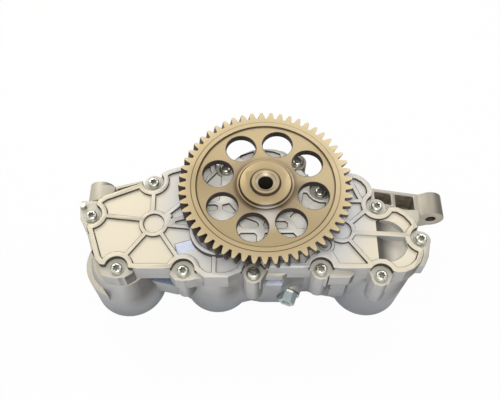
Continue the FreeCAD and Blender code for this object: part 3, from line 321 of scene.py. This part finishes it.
# %% [markdown]
# ## Turned metal
# The gear has a tan heat-treated skin with fine rings left by the lathe. Each ring could be modelled, but
# most are only a change of colour, so each is a place on a ramp of colours over the distance from the gear's
# axis, which is the Z axis here: painted shade in the grooves beside rim and hub and round the foot of the
# hub, the scribed line on the rim and the browner web. The web is lighter towards the back and right, a
# painted light, and gets soft spots of painted light and shade, each with its own colour. Steep faces, such
# as the tooth flanks, get a darker painted shade.

# %% Turned metal
LATHE_DEPTH = 0.02


def turned_metal(name, rings, reach, roughness=0.34, pitch=0.6, wall=None, sheen=0, painted_spots=()):
    "Colours by distance from an upright axis: each ring is a radius in millimetres and a colour."
    shader = new_material(name)
    x, y, _ = shader.split(shader.place())
    radius = (x * x + y * y) ** 0.5
    blotches = shader.noise(30 * MM, 4)
    stops = [(place / reach, ring_colour) for place, ring_colour in rings]
    colour = shader.node("ValToRGB", {0: radius / (reach * MM)}, stops=stops)
    aged = shader.blend(0.25, colour, srgb(120, 96, 70))
    colour = shader.blend(shader.between(blotches, 0.3, 0.75) * 0.3, colour, aged)
    # Painted light: the gear turns lighter towards the back and right.
    lit = shader.between(x * 0.5 + y, -20 * MM, 85 * MM)
    colour = shader.blend(lit * sheen, colour, srgb(236, 216, 176))
    # Soft spots of painted light and shade.
    for spot_x, spot_y, size, spot_colour, share in painted_spots:
        across = x - spot_x * MM
        along = y - spot_y * MM
        away = (across * across + along * along) ** 0.5
        spot = 1 - shader.between(away, size / 4 * MM, size * MM)
        colour = shader.blend(spot * share, colour, spot_colour)
    # Steep faces take the wall colour; on the gear it is a painted shade on the tooth flanks and hub walls.
    if wall:
        colour = shader.blend(shader.between(shader.direction()[2], 0.25, 0.8), wall, colour)
    wave = shader.node("Math", {0: radius * (2 * math.pi / (pitch * MM))}, operation="SINE")
    relief = shader.bump(wave, LATHE_DEPTH * MM, 0.3)
    return shader.finish(
        Base_Color=colour, Metallic=0.7, Roughness=roughness + blotches * 0.1, Normal=relief)


print("turned metal ready, with lathe marks", LATHE_DEPTH, "mm deep")

# %% Rings and stains of the gear
GROOVE_SHADE = srgb(72, 56, 38)
SCRIBED = srgb(84, 62, 42)
# Painted shade: the dark rings from 25 to 26.3 mm at the hub's edge and from 67.4 to 68.1 mm in the groove at
# the rim's foot, and the darker rings from 28.4 to 33 mm round the foot of the hub.
GEAR_RINGS = [
    (0, srgb(70, 54, 36)), (15.2, srgb(60, 46, 30)), (15.9, srgb(154, 136, 102)), (20, srgb(160, 141, 106)),
    (24.6, srgb(164, 145, 108)), (25.0, srgb(40, 30, 20)), (26.3, srgb(40, 30, 20)),
    (26.8, srgb(150, 132, 100)), (28.4, srgb(128, 110, 82)), (29.0, srgb(84, 68, 50)),
    (30.0, srgb(108, 92, 70)), (33, srgb(146, 129, 102)), (48, srgb(168, 150, 116)),
    (66.9, srgb(166, 148, 112)), (67.4, GROOVE_SHADE), (68.1, GROOVE_SHADE), (68.6, srgb(176, 158, 122)),
    (72.6, srgb(178, 160, 124)), (72.9, SCRIBED), (73.4, SCRIBED), (73.8, srgb(178, 160, 124)),
    (79, srgb(184, 166, 130)), (85.5, srgb(198, 181, 142)),
]
# Soft spots of painted light and shade on the web: a painted reflection below the hub, a painted shadow
# beside it, and lighter and darker patches.
PAINTED_SPOTS = [
    (2, -37, 17, srgb(204, 200, 196), 0.6),
    (36, -8, 13, srgb(60, 50, 40), 0.6),
    (-40, -22, 14, srgb(176, 170, 130), 0.4),
    (0, 42, 30, srgb(206, 182, 134), 0.35),
    (-58, 6, 22, srgb(128, 112, 84), 0.4),
    (52, 30, 20, srgb(150, 132, 98), 0.3),
]
gear_metal = turned_metal("gear_metal", GEAR_RINGS, 90, wall=srgb(82, 75, 72), sheen=0.42, painted_spots=PAINTED_SPOTS)
print("rings on the gear:", len(GEAR_RINGS), "and stains:", len(PAINTED_SPOTS))

# %% Shafts, pump gears and bushes
# Painted shade: the black inside of the bore and the dark edge from 13.2 mm out round the shaft's end.
SHAFT_RINGS = [
    (0, srgb(12, 10, 10)), (7.3, srgb(14, 12, 11)), (7.7, srgb(176, 164, 142)), (9.8, srgb(180, 168, 146)),
    (10.1, srgb(120, 102, 78)), (10.6, srgb(176, 160, 128)), (13.2, srgb(170, 152, 118)),
    (13.8, srgb(48, 38, 28)),
]
STEEL_RINGS = [(0, srgb(188, 180, 166)), (100, srgb(176, 168, 154))]
BRONZE_RINGS = [(0, srgb(176, 140, 92)), (100, srgb(160, 124, 78))]
shaft_end_metal = turned_metal("shaft_end_metal", SHAFT_RINGS, 16, wall=srgb(112, 104, 92))
shaft_metal = turned_metal("shaft_metal", STEEL_RINGS, 100, pitch=0.4)
bronze = turned_metal("bearing_bronze_metal", BRONZE_RINGS, 100, pitch=0.5)
pump_gear_metal = turned_metal("pump_gear_metal", STEEL_RINGS, 100, roughness=0.3)
print("turned finishes:", shaft_end_metal.name, shaft_metal.name, bronze.name, pump_gear_metal.name)

# %% [markdown]
# ## Plating and rubber
# Screws and plug are plated, so they are bright and smooth. They could mirror a modelled room, but the studio
# here is white all round, so the darker right side that such metal would mirror is part of the finish. The
# O-rings of the ports are plain black rubber.

# %% Plated metal and rubber
def plated_metal(name, colour, dark, roughness=0.16, metallic=0.9):
    "Bright plating, with the darker side of the room on its right-hand flanks."
    shader = new_material(name)
    right = shader.direction()[0]
    blotches = shader.noise(4 * MM, 3)
    tint = shader.blend(shader.between(right, 0.2, 0.8) * 0.8, colour, dark)
    tint = shader.blend(shader.between(blotches, 0.45, 0.7) * 0.35, tint, dark)
    return shader.finish(Base_Color=tint, Metallic=metallic, Roughness=roughness + blotches * 0.15)


def rubber(name):
    shader = new_material(name)
    fine = shader.noise(0.8 * MM)
    tint = shader.blend(fine, srgb(28, 28, 30), srgb(44, 44, 46))
    relief = shader.bump(fine, 0.03 * MM)
    return shader.finish(Base_Color=tint, Roughness=0.6 + fine * 0.1, Normal=relief)


screw_plating = plated_metal("screw_plating", srgb(208, 207, 196), srgb(84, 84, 78))
flange_metal = plated_metal("screw_flange_metal", srgb(170, 168, 154), srgb(96, 95, 86), 0.3)
plug_plating = plated_metal("plug_plating", srgb(206, 218, 220), srgb(150, 162, 166), 0.3, 0.45)
seal_rubber = rubber("seal_rubber_black")
print("plated finishes:", screw_plating.name, flange_metal.name, plug_plating.name)

# %% [markdown]
# ## A finish for every piece
# The record names a material slot for each piece, so one table of slots dresses them all, and only three
# pieces that the photograph shows closely differ from their slot.

# %% Dress the packed pieces
FINISHES = {
    "cast_housing": housing_metal,
    "cast_cover": cover_metal,
    "plated_steel": screw_plating,
    "ground_steel": shaft_metal,
    "bearing_bronze": bronze,
    "gear_steel": pump_gear_metal,
    "shaft_steel": shaft_metal,
    "seal_rubber": seal_rubber,
}
for part in frame["record"]["subparts"]:
    node = nodes[part["node"]]
    node.data.materials.clear()
    node.data.materials.append(FINISHES[part["material_slot"]])
nodes["drive_shaft"].data.materials[0] = shaft_end_metal
nodes["gallery_plug"].data.materials[0] = plug_plating
nodes["locating_pin"].data.materials[0] = screw_plating
print("dressed", len(nodes), "pieces in", len(FINISHES), "finishes")

# %% [markdown]
# ## Pieces to work on
# The packed model's faces are cut into triangles, and no edge between two triangles can be rounded well. A
# copy of a piece gets them merged back, as a modeller would before rounding an edge.

# %% Copies
def only(piece):
    bpy.ops.object.select_all(action="DESELECT")
    piece.select_set(True)
    bpy.context.view_layer.objects.active = piece


def piece_copy(name, new_name, tolerance=0.5, shortest=0.2):
    "A copy of a packed piece with its triangles merged into the faces that they came from."
    only(nodes[name])
    bpy.ops.object.duplicate()
    piece = bpy.context.object
    piece.name = new_name
    del piece["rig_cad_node"]
    bpy.ops.object.mode_set(mode="EDIT")
    bpy.ops.mesh.select_all(action="SELECT")
    bpy.ops.mesh.remove_doubles(threshold=0.001 * MM)
    bpy.ops.mesh.customdata_custom_splitnormals_clear()
    bpy.ops.mesh.dissolve_limited(angle_limit=math.radians(tolerance))
    bpy.ops.mesh.dissolve_degenerate(threshold=shortest * MM)
    return piece


def finish_piece(piece, body, node, angle=24):
    "Smooth shading, and the piece takes its place in the pump."
    bpy.ops.object.mode_set(mode="OBJECT")
    only(piece)
    bpy.ops.object.shade_smooth_by_angle(angle=math.radians(angle))
    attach(piece, body)
    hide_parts(node)
    print(piece.name, "has", len(piece.data.polygons), "faces")


print("copies ready for", len(nodes), "pieces")

# %% [markdown]
# By hand, faces and edges are clicked on. A script picks them by their place and direction, so each choice
# below is a test that a face, edge or corner passes or not.

# %% Choices
def choose(piece, test, kind="FACE"):
    "Selects the faces, edges or corners of a piece in edit mode that pass a test."
    bpy.ops.mesh.select_mode(type=kind)
    bpy.ops.mesh.select_all(action="DESELECT")
    mesh = bmesh.from_edit_mesh(piece.data)
    parts = {"FACE": mesh.faces, "EDGE": mesh.edges, "VERT": mesh.verts}[kind]
    found = [part for part in parts if test(part)]
    for part in found:
        part.select_set(True)
    bmesh.update_edit_mesh(piece.data)
    return len(found)


def paint(piece, finish, test):
    "Gives the faces that pass a test a finish of their own."
    if finish.name not in piece.data.materials:
        piece.data.materials.append(finish)
    piece.active_material_index = piece.data.materials.find(finish.name)
    found = choose(piece, test)
    bpy.ops.object.material_slot_assign()
    return found


def lowest(face):
    return min(corner.co.z for corner in face.verts) / MM


def highest(face):
    return max(corner.co.z for corner in face.verts) / MM


def inside(face, low, high):
    "True for a face whose middle lies in a box given in millimetres."
    middle = face.calc_center_median() / MM
    return all(a < part < b for a, part, b in zip(low, middle, high))


def wall_of(edge):
    return min(edge.link_faces, key=lambda face: abs(face.normal.z))


def rim_edge(edge):
    "True for an outside corner between a flat top and an upright wall."
    if len(edge.link_faces) != 2 or edge.calc_face_angle_signed() < 0.6:
        return False
    return max(face.normal.z for face in edge.link_faces) > 0.99 and abs(wall_of(edge).normal.z) < 0.3


print("tests ready:", lowest.__name__, highest.__name__, inside.__name__, rim_edge.__name__)

# %% [markdown]
# ## The ribbed cover
# On the real cover every pocket is drawn by a thin dark line: the die leaves a soft shoulder and a steep
# narrow wall, which lie in shade. Lines could be painted along the ribs, but they would have to follow every
# bend. So the walls and shoulders of the pockets get the dark finish, a painted shade, and on the near sides,
# whose walls the camera can't see, a narrow strip of floor at the foot of the wall gets the painted shade
# too.

# %% Faces and edges of the cover
POCKET_SLOT = 1
LOWEST_POCKET = 82.9
FLOOR_LEVELS = (83.2, 88.2)
NARROW_FLOORS = [((112, -37, 85), (124, -25, 87)), ((-70, -73, 85), (-63, -66, 87))]
TROUGH = ((-88, -68, 0), (-64, -48, 85.95))


def pocket_wall(face):
    return abs(face.normal.z) < 0.3 and lowest(face) > LOWEST_POCKET


def pocket_edge(edge):
    return rim_edge(edge) and lowest(wall_of(edge)) > LOWEST_POCKET


def outer_edge(edge):
    return rim_edge(edge) and lowest(wall_of(edge)) < LOWEST_POCKET


def pocket_floor(face):
    "True for a pocket's flat floor, but not for the two whose corners are too narrow for a strip."
    is_floor = face.normal.z > 0.99 and lowest(face) > FLOOR_LEVELS[0] and highest(face) < FLOOR_LEVELS[1]
    return is_floor and not any(inside(face, low, high) for low, high in NARROW_FLOORS)


def far_strip(face):
    "True for a strip of floor at the foot of a wall that the camera sees."
    walls = [other for edge in face.edges for other in edge.link_faces if abs(other.normal.z) < 0.3]
    is_strip = face.normal.z > 0.99 and face.material_index == POCKET_SLOT
    return is_strip and any(wall.normal.y < 0.1 for wall in walls)


def trough_floor(face):
    """True for a face in the shallow trough beside the idler, which gets a pale painted highlight."""
    return face.normal.z > 0.3 and highest(face) < 86.1 and inside(face, *TROUGH)


print("pockets lie above", LOWEST_POCKET, "mm")

# %% Cover casting
SHOULDER = 0.5
STRIP = 0.5
cover = piece_copy("front_cover", "cover_casting")
# Pocket walls, and through the next bevel their shoulders, get a painted shade.
walls = paint(cover, pocket_shade, pocket_wall)
inner = choose(cover, pocket_edge, "EDGE")
bpy.ops.mesh.bevel(offset=SHOULDER * MM, segments=2, profile=0.5, clamp_overlap=False, material=POCKET_SLOT)
outer = choose(cover, outer_edge, "EDGE")
bpy.ops.mesh.bevel(offset=SHOULDER * MM, segments=2, profile=0.5, clamp_overlap=False)
choose(cover, pocket_floor)
bpy.ops.mesh.dissolve_degenerate(threshold=0.3 * MM)
# Painted shade: a strip of floor at the foot of each pocket wall; where the camera sees the wall, the strip
# gets the cover's finish back.
floors = paint(cover, pocket_shade, pocket_floor)
bpy.ops.mesh.inset(thickness=STRIP * MM, use_boundary=True, use_even_offset=True)
cover.active_material_index = 0
bpy.ops.object.material_slot_assign()
paint(cover, cover_metal, far_strip)
# The trough gets a pale painted highlight.
paint(cover, trough_highlight, trough_floor)
print("pocket walls:", walls, "pocket floors:", floors, "inner edges:", inner, "outer edges:", outer)
finish_piece(cover, "casing", "front_cover")

# %% [markdown]
# ## The pump body
# Nothing on a casting is sharp. A bevel modifier would round the inner corners too, so only clear outside
# corners are chosen and rounded. The two pockets of the arm are deep and see little light, so they get a
# painted shade, and the shelf beside the left lobe, which lies in the shadow of the cover, gets a bluish
# painted shadow. A small shelf at the front gets the trough's pale painted highlight, and the bore of the arm
# the pockets' painted shade.

# %% Faces and edges of the body
ARM_POCKETS = ((113, -5, 33.5), (158, 14, 69))
ARM_POCKET_FLOORS = ((113, -5, 33.5), (158, 14, 34.5))
SHELF = ((-124, -84, 49), (-84, -65, 51))
SMALL_SHELF = ((-4, -95, 49), (24, -78, 51))
ARM_BORE = ((169.5, -90, 42.5), (180.5, 90, 53.5))


def outside_corner(edge):
    "True for a clear outside corner that is long or lies between faces that aren't tiny."
    if len(edge.link_faces) != 2 or edge.calc_face_angle_signed() < 0.6:
        return False
    return min(face.calc_area() for face in edge.link_faces) > 0.8 * MM ** 2 or edge.calc_length() > MM


def arm_pocket(face):
    return inside(face, *ARM_POCKETS) and face.normal.z < 0.5 or inside(face, *ARM_POCKET_FLOORS)


def flat_in(box):
    "A test for flat faces that look up and lie in a box."
    return lambda face: face.normal.z > 0.9 and inside(face, *box)


def arm_bore(face):
    return abs(face.normal.y) < 0.3 and inside(face, *ARM_BORE)


print("the arm's bore lies between x", ARM_BORE[0][0], "and", ARM_BORE[1][0], "mm")

# %% Housing casting
CORNER_ROUND = 0.4
housing = piece_copy("housing", "housing_casting")
corners = choose(housing, outside_corner, "EDGE")
bpy.ops.mesh.bevel(offset=CORNER_ROUND * MM, segments=2, profile=0.5, clamp_overlap=False)
# Painted shade in the arm's pockets, a bluish painted shadow on the shelf, the pale painted highlight on the
# small shelf and painted shade in the arm's bore.
paint(housing, arm_pocket_shade, arm_pocket)
paint(housing, shelf_shadow, flat_in(SHELF))
paint(housing, trough_highlight, flat_in(SMALL_SHELF))
paint(housing, pocket_shade, arm_bore)
print("corners rounded:", corners)
finish_piece(housing, "casing", "housing")

# %% [markdown]
# ## The gear blank
# Tooth ends are chamfered so that they don't chip, and the turned edges of web and hub are broken. The eight
# holes get a wide shoulder, and shoulder and wall get a dark painted shade. Smooth shading would spread a
# shoulder's light over the whole web, so the web first gets a narrow border, also round each hole, which
# keeps the rest of it flat.

# %% Drive gear
WEB_LEVEL = 107
WEB_BORDER = 1.1
HOLES = (31, 66)
TEETH = (74, 100)
TURNED = (0, 74)


def ring_edge(inner, outer):
    "A test for outside corners at a distance from the gear's axis in millimetres."
    return lambda edge: rim_edge(edge) and inner < edge.verts[0].co.xy.length / MM < outer


def hole_face(face):
    return abs(face.normal.z) < 0.97 and HOLES[0] < face.calc_center_median().xy.length / MM < HOLES[1]


gear = piece_copy("drive_gear", "helical_gear", shortest=0.01)
gear.data.materials[0] = gear_metal
choose(gear, lambda face: face.normal.z > 0.99 and abs(lowest(face) - WEB_LEVEL) < 0.05)
bpy.ops.mesh.inset(thickness=WEB_BORDER * MM, use_boundary=True, use_even_offset=True)
teeth = choose(gear, ring_edge(*TEETH), "EDGE")
bpy.ops.mesh.bevel(offset=0.2 * MM, segments=1, clamp_overlap=False)
holes = choose(gear, ring_edge(*HOLES), "EDGE")
bpy.ops.mesh.bevel(offset=0.7 * MM, segments=2, clamp_overlap=False)
turned = choose(gear, ring_edge(*TURNED), "EDGE")
bpy.ops.mesh.bevel(offset=0.3 * MM, segments=2, clamp_overlap=False)
# The holes' walls and shoulders get a dark painted shade.
paint(gear, gear_hole_shade, hole_face)
print("tooth edges:", teeth, "edges of the holes:", holes, "turned edges:", turned)
finish_piece(gear, "drive", "drive_gear")

# %% [markdown]
# ## Screws
# A cover screw has a broad flange, a rounded head and a six-lobed socket. The packed ones could be dressed as
# they are, but the camera looks closely at their heads. So one screw is modelled from a cylinder and copied
# to the twelve seats, each a little turned, as a fitter leaves them.

# %% Flange and head
SEAT = 83
FLANGE_RADIUS = 6.9
FLANGE_HEIGHT = 1.3
HEAD_RADIUS = 5.6
HEAD_STEPS = [(1.5, 1), (0.9, 0.88), (0.5, 0.78)]
HEAD_TOP = SEAT + FLANGE_HEIGHT + sum(rise for rise, _ in HEAD_STEPS)
NEAR = 0.05
bpy.ops.object.select_all(action="DESELECT")
bpy.ops.mesh.primitive_cylinder_add(
    vertices=48, radius=FLANGE_RADIUS * MM, depth=FLANGE_HEIGHT * MM,
    location=(0, 0, (SEAT + FLANGE_HEIGHT / 2) * MM))
screw = bpy.context.object
screw.name = "cover_screw"
bpy.ops.object.transform_apply(location=True)
bpy.ops.object.mode_set(mode="EDIT")


def facing(direction, level):
    "A test for flat faces that look up (1) or down (-1) at a level in millimetres."
    return lambda face: face.normal.z * direction > 0.9 and abs(lowest(face) - level) < NEAR


def raise_face(rise, share):
    "Extrudes the selected face upwards in millimetres and scales the new one about the axis."
    bpy.ops.mesh.extrude_region_move(TRANSFORM_OT_translate={"value": (0, 0, rise * MM)})
    bpy.ops.transform.resize(value=(share, share, 1), center_override=(0, 0, 0))


choose(screw, facing(1, SEAT + FLANGE_HEIGHT))
bpy.ops.mesh.inset(thickness=(FLANGE_RADIUS - HEAD_RADIUS) * MM)
for rise, share in HEAD_STEPS:
    raise_face(rise, share)
bpy.ops.mesh.inset(thickness=0.35 * MM)
print("the screw's head ends at", HEAD_TOP, "mm")

# %% Six-lobed socket
LOBE_MIDDLE = 2.9
LOBE_WAVE = 0.6
LOOP_LIMIT = 3.6
SOCKET_DEPTH = 2.2


def wave_of(corner):
    "1 for a corner at the tip of a lobe and -1 for one midway between two lobes."
    return math.cos(6 * math.atan2(corner.co.y, corner.co.x))


def on_top(corner):
    return corner.co.z > (HEAD_TOP - NEAR) * MM


def on_wave(wave):
    "A test for the socket's corners that lie at one level of the wave."
    def test(corner):
        in_loop = on_top(corner) and corner.co.xy.length < LOOP_LIMIT * MM
        return in_loop and abs(wave_of(corner) - wave) < 0.01

    return test


screw_corners = bmesh.from_edit_mesh(screw.data).verts
loop_radius = min(corner.co.xy.length for corner in screw_corners if on_top(corner))
for wave in (-1, -math.sqrt(0.5), 0, math.sqrt(0.5), 1):
    choose(screw, on_wave(wave), "VERT")
    share = (LOBE_MIDDLE + LOBE_WAVE * wave) * MM / loop_radius
    bpy.ops.transform.resize(value=(share, share, 1), center_override=(0, 0, 0))
choose(screw, lambda face: facing(1, HEAD_TOP)(face) and face.calc_center_median().xy.length < 1 * MM)
raise_face(-SOCKET_DEPTH, 0.85)
print("the socket is", SOCKET_DEPTH, "mm deep")

# %% Shank and finishes
SHANK_RADIUS = 3
SHANK_LENGTH = 25.5
SOCKET_REACH = 3.4
choose(screw, facing(-1, SEAT))
bpy.ops.mesh.inset(thickness=(FLANGE_RADIUS - SHANK_RADIUS) * MM)
bpy.ops.mesh.extrude_region_move(TRANSFORM_OT_translate={"value": (0, 0, -SHANK_LENGTH * MM)})
bpy.ops.object.mode_set(mode="OBJECT")
for finish in (screw_plating, socket_shade, flange_metal):
    screw.data.materials.append(finish)
# The socket's inside gets a painted shade.
for face in screw.data.polygons:
    from_axis = face.center.xy.length / MM
    height = face.center.z / MM - SEAT
    in_socket = from_axis < SOCKET_REACH and 0 < height < HEAD_TOP - SEAT - NEAR
    on_flange = from_axis > HEAD_RADIUS + 0.1 or 0 < height < FLANGE_HEIGHT + 0.01
    face.material_index = 1 if in_socket else 2 if on_flange else 0
only(screw)
bpy.ops.object.shade_smooth_by_angle(angle=math.radians(35))
print("faces of one screw:", len(screw.data.polygons))

# %% Twelve screws
SCREW_SPOTS = [
    (-172.5, -23), (-113.5, 15), (-142, -79.5), (-78.8, -82), (-12, -84.5), (52.5, -80.5),
    (109, -87), (151.5, -48.5), (111.5, -12.5), (56, 4.5), (34, 41), (-40, 32),
]
for number, (x, y) in enumerate(SCREW_SPOTS):
    each = screw.copy()
    each.data = screw.data.copy()
    each.name = f"cover_screw_{number + 1:02}"
    turn = Matrix.Rotation(math.radians(17 * number + 5), 4, "Z")
    each.data.transform(Matrix.Translation((x * MM, y * MM, 0)) @ turn)
    scene.collection.objects.link(each)
    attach(each, "casing")
    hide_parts("cover_screws")
bpy.data.objects.remove(screw)
print("screws set:", len(SCREW_SPOTS))

# %% [markdown]
# ## The relief spring
# The piston of the relief valve presses the spring together by up to 8 mm. The packed spring would stay as it
# is, and the piston would run into it. Here the coil is a copy of the packed spring with its faces merged,
# smooth shading and a mesh of its own, and it rides with the casing.

# %% Relief spring
coil = piece_copy("relief_spring", "relief_spring_coil", tolerance=0.01, shortest=0.001)
finish_piece(coil, "casing", "relief_spring", angle=60)
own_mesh(coil)

# %% [markdown]
# ## The studio
# The photograph has a white ground with hardly any shadow. A lit white plane would come out grey in places,
# so the floor glows white for the camera alone and keeps a trace of shadow, and the surround is white
# for the camera and in reflections. The lamps stay at a level at which a colour renders about as written.

# %% Floor
FLOOR_DROP = 0.5
GLOW_SHARE = 0.95
bpy.ops.object.select_all(action="DESELECT")
bpy.ops.mesh.primitive_plane_add(size=6, location=(0, 0, -FLOOR_DROP * MM))
floor = bpy.context.object
floor.name = "floor"
ground = new_material("floor_white")
matt = ground.node("BsdfDiffuse", {"Color": srgb(248, 248, 248)})
glow = ground.node("Emission", {"Color": srgb(255, 255, 255), "Strength": 1.0})
for_camera = ground.node("LightPath", output="Is Camera Ray") * GLOW_SHARE
ground.node("OutputMaterial", {"Surface": ground.node("MixShader", {0: for_camera, 1: matt, 2: glow})})
floor.data.materials.append(ground.block)
print("floor is", floor.dimensions.x, "metres wide")

# %% World
WORLD_LIGHT = 0.42
WORLD_SEEN = 1.0
sky = Shader(bpy.data.worlds.new("studio"))
scene.world = sky.block
seen = sky.node("LightPath", output="Is Camera Ray")
for kind in ("Is Glossy Ray", "Is Transmission Ray"):
    seen = seen.maths("MAXIMUM", seen, sky.node("LightPath", output=kind))
level = sky.node("MapRange", {"Value": seen, "To Min": WORLD_LIGHT, "To Max": WORLD_SEEN})
sky.node("OutputWorld", {"Surface": sky.node("Background", {"Color": (1, 1, 1, 1), "Strength": level})})
print("the world lights at", WORLD_LIGHT, "and is seen at", WORLD_SEEN)


# %% Lamps
def softbox(name, place, size, power, colour):
    "A square lamp that points at the pump."
    data = bpy.data.lights.new(name, "AREA")
    data.size = size
    data.energy = power
    data.color = colour
    lamp = bpy.data.objects.new(name, data)
    lamp.location = place
    lamp.rotation_euler = (Vector((0, 0, 0.05)) - Vector(place)).to_track_quat("-Z", "Y").to_euler()
    scene.collection.objects.link(lamp)


softbox("key_lamp", (-0.45, 0.6, 0.65), 0.5, 2.5, (1.0, 0.96, 0.87))
softbox("front_lamp", (0.0, -0.34, 0.85), 0.35, 2.8, (1.0, 0.98, 0.94))
softbox("fill_lamp", (0.55, 0.5, 0.7), 0.5, 1.9, (0.97, 0.98, 1.0))
